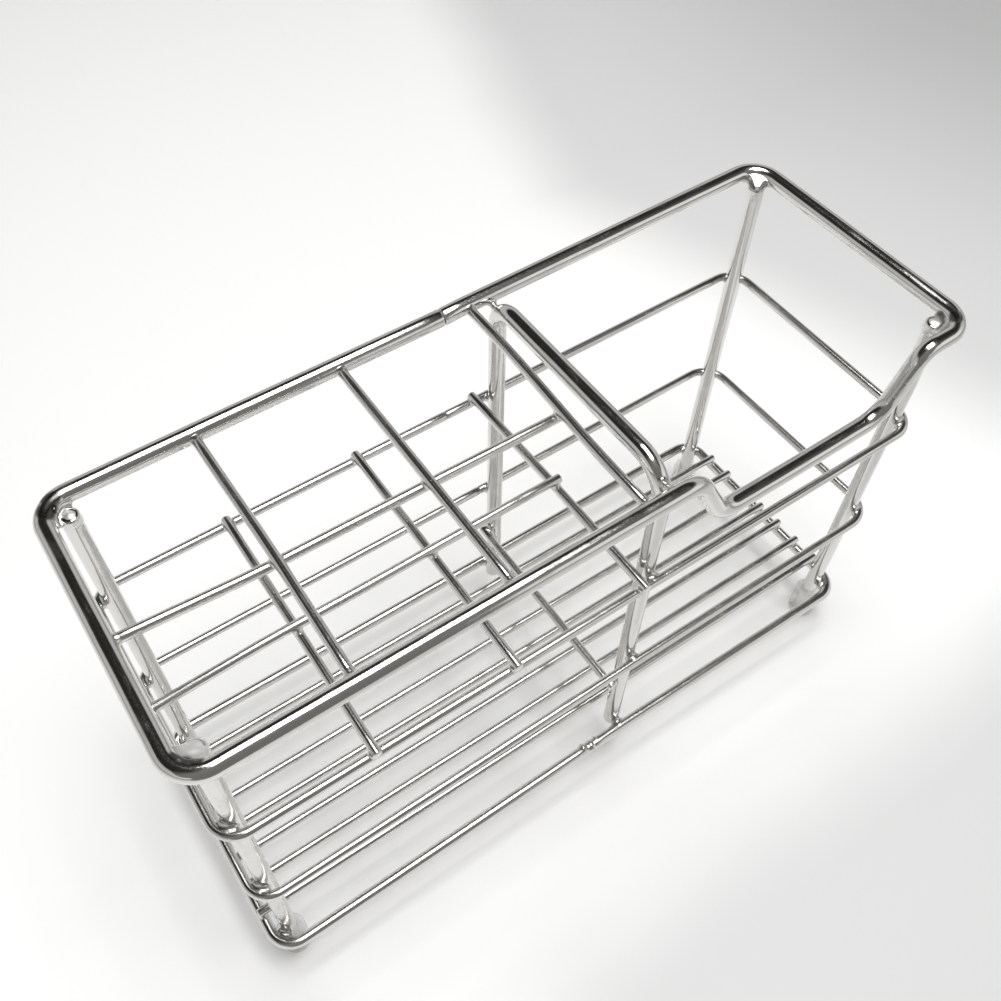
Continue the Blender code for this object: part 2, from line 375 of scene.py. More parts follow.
@dataclass(frozen=True)
class ClearCap:
    """Soft clear plastic with a cloudy cast and a moulded, slightly scuffed skin."""

    clear: tuple = (0.97, 0.97, 0.965, 1.0)
    cloud: tuple = (0.91, 0.91, 0.905, 1.0)
    roughness: float = 0.16
    scuff_roughness: float = 0.30
    cloud_scale: tuple = (220.0, 220.0, 90.0)
    scuff_scale: tuple = (700.0, 700.0, 200.0)
    cloud_mask: tuple = (0.35, 0.4)
    scuff_mask: tuple = (0.52, 0.2)
    scuff_depth: float = 0.000006
    bending: float = 1.42
    clearness: float = 0.80
    thin_alpha: float = 0.30
    thick_alpha: float = 0.50

    def make(self) -> bpy.types.Material:
        """Write the material.

        Returns:
            The material.
        """
        recipe = Recipe.material("clear_cap")
        place = recipe.place()
        cloud = recipe.noise(place, self.cloud_scale).above(*self.cloud_mask)
        scuffs = recipe.noise(place, self.scuff_scale, detail=3.0, rough=0.6).above(*self.scuff_mask)
        gloss = self.roughness + scuffs * (self.scuff_roughness - self.roughness)
        cast = self.thin_alpha + cloud * (self.thick_alpha - self.thin_alpha)
        recipe.shade(Base_Color=recipe.blend(cloud, self.clear, self.cloud), Roughness=gloss, Alpha=cast)
        recipe.shade(IOR=self.bending, Transmission_Weight=self.clearness)
        recipe.shade(Normal=recipe.bump(scuffs, self.scuff_depth))
        return recipe.result


@dataclass(frozen=True)
class Corner:
    """One corner of a bent wire and the radius of its bend, none at a free end."""

    point: Vector
    radius: float = 0.0


def share_of(value: float) -> float:
    """A value kept between 0 and 1."""
    return min(max(value, 0.0), 1.0)


def wave(place: float, centre: float, width: float) -> float:
    """A smooth hump of height 1 about a centre."""
    return math.exp(-((place - centre) / width) ** 2)


class Route:
    """A wire's centre-line: straight runs and round bends, as closely spaced stations."""

    arc_step = math.radians(6)
    run_step = 0.005
    near_step = 0.0001

    def __init__(self, corners: Sequence[Corner], sway: Optional[Sway] = None) -> None:
        """Round the corners, divide the runs and add the wire's real, slight bends.

        Args:
            corners: The wire's corners in order.
            sway: How far a point of the wire lies off its straight line.
        """
        rough = []
        for index, corner in enumerate(corners):
            if corner.radius:
                rough.extend(self._bend(corners[index - 1].point, corner, corners[index + 1].point))
            else:
                rough.append(corner.point.copy())
        self.stations = [rough[0]]
        for end in rough[1:]:
            start = self.stations[-1]
            count = max(1, math.ceil((end - start).length / self.run_step))
            self.stations.extend(start.lerp(end, step / count) for step in range(1, count + 1))
        if sway:
            self.stations = [station + sway(station) for station in self.stations]
        self.lengths = [0.0]
        for first, second in zip(self.stations, self.stations[1:]):
            self.lengths.append(self.lengths[-1] + (second - first).length)

    def _bend(self, before: Vector, corner: Corner, after: Vector) -> list:
        """Round one corner.

        Args:
            before: The point before the corner.
            corner: The corner.
            after: The point after it.

        Returns:
            Points of the arc.
        """
        incoming = (before - corner.point).normalized()
        outgoing = (after - corner.point).normalized()
        half_angle = incoming.angle(outgoing) / 2
        turn = math.pi - 2 * half_angle
        reach = corner.radius / math.tan(half_angle)
        centre = corner.point + (incoming + outgoing).normalized() * corner.radius / math.sin(half_angle)
        first_spoke = corner.point + incoming * reach - centre
        last_spoke = corner.point + outgoing * reach - centre
        steps = math.ceil(turn / self.arc_step)
        points = []
        for step in range(steps + 1):
            swept = turn * step / steps
            spoke = first_spoke * math.sin(turn - swept) + last_spoke * math.sin(swept)
            points.append(centre + spoke / math.sin(turn))
        return points

    def stub(self, place: Vector, reach: float, step: float) -> list:
        """Points of the route within a reach of the place that lies nearest to a given one.

        Args:
            place: The given place.
            reach: How far the stub goes along the wire to either side.
            step: The spacing of its points.

        Returns:
            Pairs of a point and its distance along the wire from the nearest place.
        """
        middle = min(self._apart(place, index) for index in range(len(self.lengths) - 1))[1]
        count = round(2 * reach / step)
        offsets = [-reach + 2 * reach * number / count for number in range(count + 1)]
        kept = [offset for offset in offsets if 0.0 <= middle + offset <= self.lengths[-1]]
        return [(self._at(middle + offset), offset) for offset in kept]

    def beside(self, place: Vector) -> Vector:
        """The point one near step before the one that lies nearest to a place, or the wire's end."""
        return self.stub(place, self.near_step, self.near_step)[0][0]

    def nearest(self, place: Vector) -> Vector:
        """The point that lies nearest to a place away from the wire's ends."""
        return self.stub(place, self.near_step, self.near_step)[1][0]

    def _apart(self, place: Vector, index: int) -> tuple:
        """Measure how far a place lies from one segment.

        Args:
            place: The place.
            index: The number of the segment.

        Returns:
            The distance, and how far along the route the segment's nearest point lies.
        """
        start = self.stations[index]
        segment = self.stations[index + 1] - start
        share = share_of((place - start).dot(segment) / segment.length_squared)
        return ((start + segment * share - place).length, self.lengths[index] + segment.length * share)

    def _at(self, distance: float) -> Vector:
        """Find the point at a distance along the route.

        Args:
            distance: How far it lies from the route's start.

        Returns:
            The point.
        """
        index = 0
        while index < len(self.lengths) - 2 and self.lengths[index + 1] < distance:
            index += 1
        share = (distance - self.lengths[index]) / (self.lengths[index + 1] - self.lengths[index])
        return self.stations[index].lerp(self.stations[index + 1], share)


def sweep(mesh: bmesh.types.BMesh, pairs: Sequence[tuple], sides: int) -> None:
    """Carry a circle along points by extruding and turning it, and close both ends.

    Args:
        mesh: The mesh that the skin is added to, with a vector layer named grain.
        pairs: The centre-line's points, each with the skin's radius there.
        sides: The number of sides of the circle.
    """
    points = [point for point, _ in pairs]
    radii = [radius for _, radius in pairs]
    grain = mesh.verts.layers.float_vector["grain"]
    tangents = [points[1] - points[0]]
    tangents.extend(after - before for before, after in zip(points, points[2:]))
    tangents.append(points[-1] - points[-2])
    turned = UP.rotation_difference(tangents[0]).to_matrix().to_4x4()
    start = Matrix.Translation(points[0]) @ turned
    circle = {"cap_ends": False, "radius": radii[0], "segments": sides, "matrix": start}
    ring = bmesh.ops.create_circle(mesh, **circle)["verts"]
    nominal = max(radii)
    for vertex in ring:
        spoke = start.inverted() @ vertex.co * nominal / radii[0]
        vertex[grain] = Vector((0.0, spoke.x, spoke.y))
    edges = list(dict.fromkeys(edge for vertex in ring for edge in vertex.link_edges))
    bmesh.ops.edgeloop_fill(mesh, edges=edges)
    for index in range(1, len(points)):
        extruded = bmesh.ops.extrude_edge_only(mesh, edges=edges)["geom"]
        ring = [item for item in extruded if isinstance(item, bmesh.types.BMVert)]
        fresh = set(ring)
        edges = [item for item in extruded if isinstance(item, bmesh.types.BMEdge)]
        edges = [edge for edge in edges if edge.verts[0] in fresh and edge.verts[1] in fresh]
        turn = tangents[index - 1].rotation_difference(tangents[index]).to_matrix().to_4x4()
        growth = Matrix.Scale(radii[index] / radii[index - 1], 4)
        back_home = Matrix.Translation(-points[index - 1])
        carry = Matrix.Translation(points[index]) @ turn @ growth @ back_home
        bmesh.ops.transform(mesh, matrix=carry, space=Matrix.Identity(4), verts=ring)
        moved = (points[index] - points[index - 1]).length
        for vertex in ring:
            vertex[grain] = vertex[grain] + Vector((moved, 0.0, 0.0))
    bmesh.ops.edgeloop_fill(mesh, edges=edges)


def new_skin() -> bmesh.types.BMesh:
    """Start a mesh with the layer that holds each point's place along and round its wire.

    Returns:
        The empty mesh.
    """
    mesh = bmesh.new()
    mesh.verts.layers.float_vector.new("grain")
    return mesh


def settle(name: str, mesh: bmesh.types.BMesh, material: bpy.types.Material) -> bpy.types.Object:
    """Turn a finished mesh into a smooth-shaded object with its faces outwards.

    Args:
        name: The object's name.
        mesh: The mesh, which is freed.
        material: Its finish.

    Returns:
        The object, at the origin.
    """
    bmesh.ops.recalc_face_normals(mesh, faces=mesh.faces)
    data = bpy.data.meshes.new(name)
    mesh.to_mesh(data)
    mesh.free()
    data.shade_smooth()
    data.materials.append(material)
    made = bpy.data.objects.new(name, data)
    bpy.context.scene.collection.objects.link(made)
    return made


def hand_over(piece: bpy.types.Object, nodes: Sequence[str] = ()) -> None:
    """Let a piece ride on the caddy and stand for the nodes that it draws again.

    Args:
        piece: The finished piece.
        nodes: The names of the nodes.
    """
    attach(piece, BODY)
    if nodes:
        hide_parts(*nodes)
    logging.info("%s: %d faces", piece.name, len(piece.data.polygons))


@dataclass(frozen=True)
class Rod:
    """One round wire of the caddy: its route, thickness, cut ends and the node that it stands for."""

    node: str
    route: Route
    diameter: float
    edge_radius: float = 0.0003
    sides: int = 32
    end_angles: tuple = (0, 30, 60, 90)

    @property
    def start(self) -> Vector:
        """The first end of its centre-line."""
        return self.route.stations[0]

    @property
    def end(self) -> Vector:
        """The last end of its centre-line."""
        return self.route.stations[-1]

    def build(self, material: bpy.types.Material) -> None:
        """Draw the rod along its route, with slightly rounded cut ends.

        Args:
            material: Its finish.
        """
        points = self.route.stations
        full = self.diameter / 2
        head = self._round_end(points[0], points[1], full)
        tail = self._round_end(points[-1], points[-2], full)
        mesh = new_skin()
        sweep(mesh, head + [(point, full) for point in points[1:-1]] + tail[::-1], self.sides)
        hand_over(settle(self.node + "_rod", mesh, material), [self.node])

    def _round_end(self, end: Vector, inner: Vector, full: float) -> list:
        """Round one cut end.

        Args:
            end: The end of the centre-line.
            inner: The next point inwards.
            full: The rod's radius.

        Returns:
            Pairs of a point and the rod's radius there, from the end inwards.
        """
        inward = (inner - end).normalized()
        pairs = []
        for angle in self.end_angles:
            swept = math.radians(angle)
            depth = self.edge_radius * (1 - math.cos(swept))
            radius = full - self.edge_radius * (1 - math.sin(swept))
            pairs.append((end + inward * depth, radius))
        return pairs


@dataclass(frozen=True)
class Pool:
    """A drop of weld metal: an ellipsoid, turned about the upright axis."""

    centre: Vector
    radii: tuple
    turn: float = 0.0
    fineness: int = 3

    def add_to(self, mesh: bmesh.types.BMesh, spread: float) -> None:
        """Add the drop to a mesh.

        Args:
            mesh: The mesh that the drop is added to.
            spread: How much thicker it is drawn all round.
        """
        shape = Matrix.Translation(self.centre) @ Matrix.Rotation(self.turn, 4, "Z")
        shape = shape @ Matrix.Diagonal((*(radius + spread for radius in self.radii), 1.0))
        bmesh.ops.create_icosphere(mesh, subdivisions=self.fineness, radius=1.0, matrix=shape)


@dataclass(frozen=True)
class Weld:
    """One weld: where it is, the rods that it wets, and its drops of metal.

    The metal swells over a thin rod and leans towards the weld. On a thick one it stays in the skin.
    """

    place: Vector
    rods: tuple
    pools: tuple
    swell: float = 0.00005
    sink: float = 0.00012
    reach: float = 0.0032
    thick: float = 0.0035
    lean: float = 1.6
    steps: int = 8
    sides: int = 24
    dome_angles: tuple = (15, 30, 45, 60, 75, 90)

    def add_to(self, mesh: bmesh.types.BMesh, spread: float) -> None:
        """Add the drops, and on each rod a tapered sleeve.

        Args:
            mesh: The mesh that the metal is added to.
            spread: How much thicker all of it is drawn, before the group draws it in again.
        """
        for rod in self.rods:
            stub = rod.route.stub(self.place, self.reach, self.reach / self.steps)
            if len(stub) < 3:
                continue
            swell = self.swell if rod.diameter < self.thick else -self.sink
            sleeve = []
            for point, offset in stub:
                fall = (1 - math.cos(math.pi * abs(offset) / self.reach)) / 2
                radius = rod.diameter / 2 + swell - (swell + self.sink) * fall
                shift = (self.place - point).normalized() * max(0.0, swell) * self.lean
                sleeve.append((point + shift, radius + spread))
            head = self._dome(sleeve[1][0], *sleeve[0], spread)
            sleeve = head[::-1] + sleeve + self._dome(sleeve[-2][0], *sleeve[-1], spread)
            sweep(mesh, sleeve, self.sides)
        for pool in self.pools:
            pool.add_to(mesh, spread)

    def _dome(self, inner: Vector, end: Vector, radius: float, spread: float) -> list:
        """Round the end of a spread sleeve.

        Args:
            inner: The point before the sleeve's end.
            end: The sleeve's end.
            radius: The sleeve's radius there.
            spread: The radius of the round.

        Returns:
            Pairs of a point and a radius, from the end outwards.
        """
        onward = (end - inner).normalized()
        pairs = []
        for angle in self.dome_angles:
            swept = math.radians(angle)
            pairs.append((end + onward * spread * math.sin(swept), radius - spread * (1 - math.cos(swept))))
        return pairs


@dataclass(frozen=True)
class Facet:
    """A plane to which a grinder has cut a weld down: a place on it and its outward normal."""

    place: Vector
    normal: Vector

    def cut(self, mesh: bmesh.types.BMesh) -> None:
        """Take off all that stands out of the plane and close the cut.

        Args:
            mesh: The mesh that is cut.
        """
        whole = mesh.verts[:] + mesh.edges[:] + mesh.faces[:]
        options = {"plane_co": self.place, "plane_no": self.normal, "clear_outer": True}
        cut = bmesh.ops.bisect_plane(mesh, geom=whole, **options)["geom_cut"]
        bmesh.ops.holes_fill(mesh, edges=[item for item in cut if isinstance(item, bmesh.types.BMEdge)])


@dataclass
class WeldGroup:
    """The welds of one part of the caddy, melted together with hollow fillets.

    The grid is how finely the metal is melted together, the passes are how often it is then smoothed,
    and the spread is the radius of the hollow fillets between the rods.
    """

    name: str
    grid: float
    passes: int
    spread: float
    welds: list
    facets: Sequence[Facet] = ()
    first_passes: int = 3
    smoothing: float = 0.5
    facet_edge_degrees: float = 22.0

    def build(self, material: bpy.types.Material) -> None:
        """Melt the spread metal into one skin, draw it in again, smooth it and hand it over.

        Args:
            material: Its finish.
        """
        mesh = new_skin()
        for weld in self.welds:
            weld.add_to(mesh, self.spread)
        raw = settle(self.name + "_raw", mesh, material)
        self._modify(raw, "REMESH", mode="VOXEL", voxel_size=self.grid)
        self._modify(raw, "SMOOTH", factor=self.smoothing, iterations=self.first_passes)
        self._modify(raw, "DISPLACE", strength=-self.spread, mid_level=0.0)
        self._modify(raw, "REMESH", mode="VOXEL", voxel_size=self.grid)
        self._modify(raw, "SMOOTH", factor=self.smoothing, iterations=self.passes)
        graph = bpy.context.evaluated_depsgraph_get()
        melted = bpy.data.meshes.new_from_object(raw.evaluated_get(graph))
        finished = bmesh.new()
        finished.from_mesh(melted)
        bpy.data.objects.remove(raw)
        for facet in self.facets:
            facet.cut(finished)
        piece = settle(self.name, finished, material)
        if self.facets:
            piece.data.set_sharp_from_angle(angle=math.radians(self.facet_edge_degrees))
        hand_over(piece)

    @staticmethod
    def _modify(piece: bpy.types.Object, kind: str, **settings: Union[str, float]) -> None:
        """Add a modifier.

        Args:
            piece: The piece that it changes.
            kind: The modifier's type.
            settings: Its settings, by name.
        """
        modifier = piece.modifiers.new(kind.lower(), kind)
        for name, value in settings.items():
            setattr(modifier, name, value)


def bar_ends(node: str, axis: Axis) -> list:
    """Find the corners at the two ends of a straight bar.

    Args:
        node: The bar's node.
        axis: The axis along which it runs.

    Returns:
        The two corners.
    """
    low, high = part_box(node)
    start = (low + high) / 2
    end = start.copy()
    start[axis.value] = low[axis.value]
    end[axis.value] = high[axis.value]
    return [Corner(start), Corner(end)]


@dataclass
class Caddy:
    """Sizes that the sub-assemblies share: the wires' thicknesses, and places from the frame's boxes."""

    thick_diameter: float = 0.0042
    ring_diameter: float = 0.0023
    base_diameter: float = 0.0030
    bar_diameter: float = 0.0023
    rim_corner: float = 0.0065
    seam_half_gap: float = 0.00006
    thin_sides: int = 24

    def __post_init__(self) -> None:
        """Read the rim's centre-lines and the hoop's place from the frame."""
        low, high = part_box("top_rim")
        half = self.thick_diameter / 2
        self.left = low.x + half
        self.right = high.x - half
        self.front = low.y + half
        self.back = high.y - half
        self.rim_height = high.z - half
        self.low_height = low.z + half
        low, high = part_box("centre_hoop")
        self.hoop_x = (low.x + high.x) / 2

    def bar(self, node: str, corners: Sequence[Corner], sway: Optional[Sway] = None) -> Rod:
        """A thin bar through some corners."""
        return Rod(node, Route(corners, sway), self.bar_diameter, sides=self.thin_sides)


@dataclass(frozen=True)
class Tilt:
    """How far the four corners of a ring lie above or below its level."""

    front_left: float = 0.0
    front_right: float = 0.0
    back_left: float = 0.0
    back_right: float = 0.0
    half_length: float = 0.0931
    half_depth: float = 0.0320

    def __call__(self, place: Vector) -> Vector:
        """Blend the lift of one point between the corners.

        Args:
            place: A point of the ring.

        Returns:
            The lift.
        """
        right = share_of((place.x / self.half_length + 1) / 2)
        back = share_of((place.y / self.half_depth + 1) / 2)
        front_lift = self.front_left * (1 - right) + self.front_right * right
        back_lift = self.back_left * (1 - right) + self.back_right * right
        return Vector((0.0, 0.0, front_lift * (1 - back) + back_lift * back))


@dataclass(frozen=True)
class Drift:
    """How far a bar lies off its straight line.

    It drifts along the length or the depth by a steady shift, a hump about a centre, a lean that grows
    towards an end, and a swing to and fro over a half span.
    """

    axis: Axis
    shift: float = 0.0
    hump: float = 0.0
    hump_centre: float = 0.0
    hump_width: float = 0.02
    lean: float = 0.0
    lean_end: float = 1.0
    swing: float = 0.0
    half_span: float = 0.0339

    def __call__(self, place: Vector) -> Vector:
        """Work out the drift of one point.

        Args:
            place: A point of the bar's straight line.

        Returns:
            The drift.
        """
        along = place.x if self.axis is Axis.DEPTH else place.y
        drift = Vector((0.0, 0.0, 0.0))
        drift[self.axis.value] = (
            self.shift
            + self.hump * wave(along, self.hump_centre, self.hump_width)
            + self.lean * max(0.0, along / self.lean_end)
            + self.swing * math.sin(along / self.half_span * math.pi)
        )
        return drift


@dataclass
class Rim:
    """The thick rim wire, with its front lowered before the open compartment.

    The sag and the seam's reach are pairs of a centre and a width along the length.
    """

    caddy: Caddy
    drop_after_hoop: float = 0.0051
    drop_left_run: float = 0.0090
    drop_right_run: float = 0.0070
    drop_before_end: float = 0.0140
    drop_left_bend: float = 0.0070
    drop_right_top_bend: float = 0.0050
    drop_right_foot_bend: float = 0.0080
    seam_from_right: float = 0.0955
    edge_radius: float = 0.0004
    back_right_rise: float = 0.0009
    back_right_pull: float = 0.0009
    pull_power: int = 4
    low_front_sag: float = 0.0004
    sag_reach: tuple = (0.045, 0.03)
    seam_step: float = 0.0002
    seam_reach: tuple = (0.0, 0.03)

    def rod(self) -> Rod:
        """Lead the rim from its seam in the back, all the way round.

        Returns:
            The rim's rod.
        """
        sizes = self.caddy
        high = sizes.rim_height
        low = sizes.low_height
        seam = sizes.right - self.seam_from_right
        left_top = sizes.hoop_x + self.drop_after_hoop
        right_top = sizes.right - self.drop_before_end
        right_foot = right_top - self.drop_right_run
        outline = [
            (seam - sizes.seam_half_gap, sizes.back, high, 0.0),
            (sizes.left, sizes.back, high, sizes.rim_corner),
            (sizes.left, sizes.front, high, sizes.rim_corner),
            (left_top, sizes.front, high, self.drop_left_bend),
            (left_top + self.drop_left_run, sizes.front, low, self.drop_left_bend),
            (right_foot, sizes.front, low, self.drop_right_foot_bend),
            (right_top, sizes.front, high, self.drop_right_top_bend),
            (sizes.right, sizes.front, high, sizes.rim_corner),
            (sizes.right, sizes.back, high, sizes.rim_corner),
            (seam + sizes.seam_half_gap, sizes.back, high, 0.0),
        ]
        corners = [Corner(Vector((x, y, z)), radius) for x, y, z, radius in outline]
        return Rod("top_rim", Route(corners, self._sway), sizes.thick_diameter, edge_radius=self.edge_radius)

    def _sway(self, place: Vector) -> Vector:
        """Lift the rim towards its back right corner, and step it a little at the seam.

        Args:
            place: A point of the rim's straight outline.

        Returns:
            How far the wire lies off that point.
        """
        sizes = self.caddy
        across = max(0.0, place.x / sizes.right)
        back_share = (place.y - sizes.front) / (sizes.back - sizes.front)
        rise = self.back_right_rise * across * back_share
        pull = self.back_right_pull * across ** self.pull_power * back_share
        sag = self.low_front_sag * wave(place.x, *self.sag_reach) if place.y < 0.0 else 0.0
        near_seam = wave(place.x, *self.seam_reach) if place.x < 0.0 and place.y > 0.0 else 0.0
        return Vector((-pull, -self.seam_step * near_seam, rise - sag))


@dataclass
class Hoop:
    """The tall hoop between the toothbrush slots and the compartment, and its low brace."""

    caddy: Caddy
    front_bend: float = 0.0085
    back_bend: float = 0.0060

    def rod(self) -> Rod:
        """Lead the hoop from its back leg's foot, over the top and down in front.

        Returns:
            The hoop's rod.
        """
        low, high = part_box("centre_hoop")
        half = self.caddy.thick_diameter / 2
        x = self.caddy.hoop_x
        corners = [
            Corner(Vector((x, high.y - half, low.z))),
            Corner(Vector((x, high.y - half, high.z - half)), self.back_bend),
            Corner(Vector((x, low.y + half, high.z - half)), self.front_bend),
            Corner(Vector((x, low.y + half, low.z))),
        ]
        return Rod("centre_hoop", Route(corners), self.caddy.thick_diameter)

    def brace(self) -> Rod:
        """The short bar low down between the hoop's legs."""
        return self.caddy.bar("leg_brace_bar", bar_ends("leg_brace_bar", Axis.DEPTH))


@dataclass
class Ring:
    """A closed ring round the posts, drawn in where it meets the hoop's legs."""

    caddy: Caddy
    node: str
    diameter: float
    left_corner: float
    right_corner: float
    seam_from_hoop: float
    sway: Sway
    seam_in_front: bool = False
    weld_gap: float = 0.0003
    edge_radius: float = 0.00025

    def rod(self) -> Rod:
        """Lead the ring from its seam to the left of the hoop, all the way round.

        Returns:
            The ring's rod.
        """
        low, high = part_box(self.node)
        half = self.diameter / 2
        z = (low.z + high.z) / 2
        left, right = low.x + half, high.x - half
        leg_low, leg_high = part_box("centre_hoop")
        waists = [leg_high.y + self.weld_gap + half, leg_low.y - self.weld_gap - half]
        runs = [high.y - half, low.y + half]
        if self.seam_in_front:
            waists.reverse()
            runs.reverse()
        near_waist, far_waist = waists
        near, far = runs
        hoop_x = self.caddy.hoop_x
        gap = self.caddy.seam_half_gap
        seam_y = near_waist + (near - near_waist) * (self.seam_from_hoop / (hoop_x - left))
        seam_x = hoop_x - self.seam_from_hoop
        outline = [
            (seam_x - gap, seam_y, 0.0),
            (left, near, self.left_corner),
            (left, far, self.left_corner),
            (hoop_x, far_waist, 0.0),
            (right, far, self.right_corner),
            (right, near, self.right_corner),
            (hoop_x, near_waist, 0.0),
            (seam_x + gap, seam_y, 0.0),
        ]
        route = Route([Corner(Vector((x, y, z)), radius) for x, y, radius in outline], self.sway)
        return Rod(self.node, route, self.diameter, self.edge_radius, self.caddy.thin_sides)


@dataclass
class Rings:
    """The three rings round the posts, each a little out of level.

    A ring's sizes are the radii of its left and right bends and the distance from its seam to the hoop.
    """

    caddy: Caddy
    upper_tilt: Tilt = Tilt(back_left=0.0013, back_right=0.0005, front_right=-0.0005)
    lower_tilt: Tilt = Tilt(front_left=-0.0013)
    base_tilt: Tilt = Tilt(front_left=-0.0010, front_right=-0.0010)
    upper_sizes: tuple = (0.0058, 0.0062, 0.0129)
    lower_sizes: tuple = (0.0058, 0.0072, 0.0030)
    base_sizes: tuple = (0.0060, 0.0060, 0.0103)

    def rods(self) -> list:
        """Lead the three rings round the posts.

        Returns:
            The upper, the lower and the base ring.
        """
        thin = self.caddy.ring_diameter
        base = self.caddy.base_diameter
        rings = [
            Ring(self.caddy, "upper_ring", thin, *self.upper_sizes, self.upper_tilt),
            Ring(self.caddy, "lower_ring", thin, *self.lower_sizes, self.lower_tilt),
            Ring(self.caddy, "base_ring", base, *self.base_sizes, self.base_tilt, seam_in_front=True),
        ]
        return [ring.rod() for ring in rings]


@dataclass
class Posts:
    """Four posts in the rounds of the rim's corners."""

    caddy: Caddy
    edge_radius: float = 0.0006
    bowed: str = "front_right"
    bow: float = 0.0006
    bow_foot: float = 0.011
    bow_run: float = 0.02

    def rods(self) -> dict:
        """Stand up the four posts.

        Returns:
            Each post by the name of its corner.
        """
        made = {}
        for corner in CORNERS:
            node = f"post_{corner}"
            route = Route(bar_ends(node, Axis.HEIGHT), self._sway if corner == self.bowed else None)
            made[corner] = Rod(node, route, self.caddy.thick_diameter, self.edge_radius)
        return made

    def _sway(self, place: Vector) -> Vector:
        """Bow the front right post a little outwards between its foot and the rim.

        Args:
            place: A point of the post's axis.

        Returns:
            How far the post lies off that point.
        """
        above_cap = share_of((place.z - self.bow_foot) / self.bow_run)
        below_rim = share_of((self.caddy.rim_height - place.z) / self.bow_run)
        return Vector((self.bow * above_cap * below_rim, 0.0, 0.0))


@dataclass
class Dividers:
    """The thin bars across the rim and the shelf that part the slots, and the long bar of each."""

    caddy: Caddy
    third_bar_slant: float = 0.0013
    rise_run: float = 0.0270
    drop_run: float = 0.0270
    long_bend: float = 0.08
    seat_bend: float = 0.02
    rim_bar_drifts: tuple = (
        Drift(Axis.LENGTH, hump=0.0003),
        Drift(Axis.LENGTH, shift=-0.0003),
        Drift(Axis.LENGTH, shift=-0.0005, swing=0.0003),
    )
    shelf_long_drift: Drift = Drift(
        Axis.DEPTH, shift=-0.0007, hump=-0.0004, hump_centre=-0.05, hump_width=0.03
    )
    last_shelf_bar_lean: float = -0.0006
    rim_long_lean: float = 0.0010

    def rim_bars(self) -> list:
        """Lay the three bars across the rim, the third slightly askew.

        Returns:
            The bars, in the order of their numbers.
        """
        rods = []
        slants = (0.0, 0.0, self.third_bar_slant)
        for number, slant, drift in zip((1, 2, 3), slants, self.rim_bar_drifts):
            node = f"rim_cross_bar_{number}"
            front_end, back_end = bar_ends(node, Axis.DEPTH)
            shift = Vector((slant / 2, 0.0, 0.0))
            corners = [Corner(front_end.point - shift), Corner(back_end.point + shift)]
            rods.append(self.caddy.bar(node, corners, drift))
        return rods

    def rim_long_bar(self) -> Rod:
        """Lay the long bar that runs under the rim's bars and rises to the rim's left side.

        Returns:
            The bar.
        """
        low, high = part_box("rim_long_bar")
        y = (low.y + high.y) / 2
        half = self.caddy.bar_diameter / 2
        corners = [
            Corner(Vector((low.x, y, high.z - half))),
            Corner(Vector((low.x + self.rise_run, y, low.z + half)), self.long_bend),
            Corner(Vector((high.x, y, low.z + half))),
        ]
        drift = Drift(Axis.DEPTH, lean=self.rim_long_lean, lean_end=self.caddy.left)
        return self.caddy.bar("rim_long_bar", corners, drift)

    def shelf_bars(self) -> list:
        """Lay the three bars across the shelf, the third leaning to the left at its back end.

        Returns:
            The bars, in the order of their numbers.
        """
        lean = Drift(Axis.LENGTH, lean=self.last_shelf_bar_lean, lean_end=self.caddy.back)
        rods = []
        for number, drift in zip((1, 2, 3), (None, None, lean)):
            node = f"shelf_cross_bar_{number}"
            rods.append(self.caddy.bar(node, bar_ends(node, Axis.DEPTH), drift))
        return rods

    def shelf_long_bar(self) -> Rod:
        """Lay the long bar that lies on the shelf's bars and drops to the ring's left side.

        Returns:
            The bar.
        """
        low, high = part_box("shelf_long_bar")
        y = (low.y + high.y) / 2
        half = self.caddy.bar_diameter / 2
        seat = low.x + self.caddy.ring_diameter
        corners = [
            Corner(Vector((low.x, y, low.z + half))),
            Corner(Vector((seat, y, low.z + half)), self.seat_bend),
            Corner(Vector((seat + self.drop_run, y, high.z - half)), self.long_bend),
            Corner(Vector((high.x, y, high.z - half))),
        ]
        return self.caddy.bar("shelf_long_bar", corners, self.shelf_long_drift)


@dataclass
class FloorBars:
    """The bars along the length that make the caddy's floor."""

    caddy: Caddy
    count: int = 7

    def rods(self) -> list:
        """The floor's bars, from front to back."""
        nodes = [f"floor_bar_{number}" for number in range(1, self.count + 1)]
        return [self.caddy.bar(node, bar_ends(node, Axis.LENGTH)) for node in nodes]


